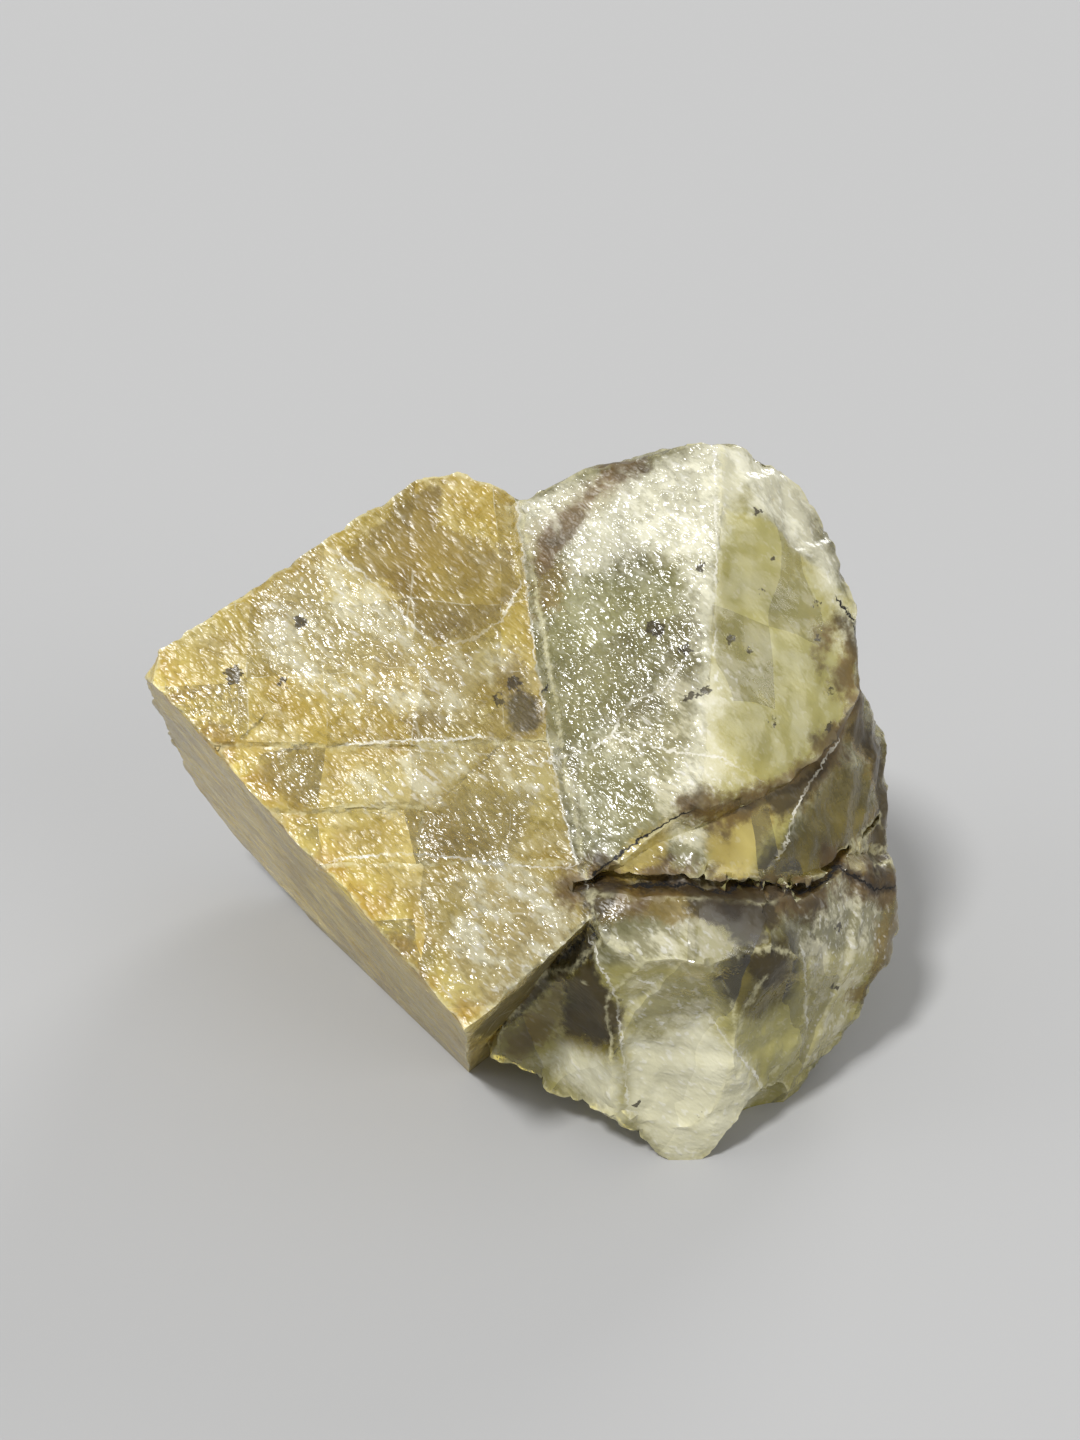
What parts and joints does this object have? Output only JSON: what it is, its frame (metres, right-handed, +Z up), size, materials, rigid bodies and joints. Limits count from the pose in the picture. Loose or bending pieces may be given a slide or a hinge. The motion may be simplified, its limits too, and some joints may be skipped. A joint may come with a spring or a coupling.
{
  "type": "fluorite crystal cluster",
  "caption": "Yellow-green fluorite mineral specimen: intergrown cubic crystals on a broken, shell-fractured base with an iron-stained crack.",
  "frame": {"origin": "middle of the footprint, on the surface the stone stands on", "axes": "+X to the right and +Y away from the viewer in the picture, +Z up"},
  "size_m": [0.0647, 0.053, 0.0515],
  "materials": {
    "fluorite": "cloudy yellow-green to amber crystal, frosted faces, brown iron stain in the crack"
  },
  "bodies": {
    "root": {"fluorite_cluster": "fluorite"}
  },
  "joints": []
}
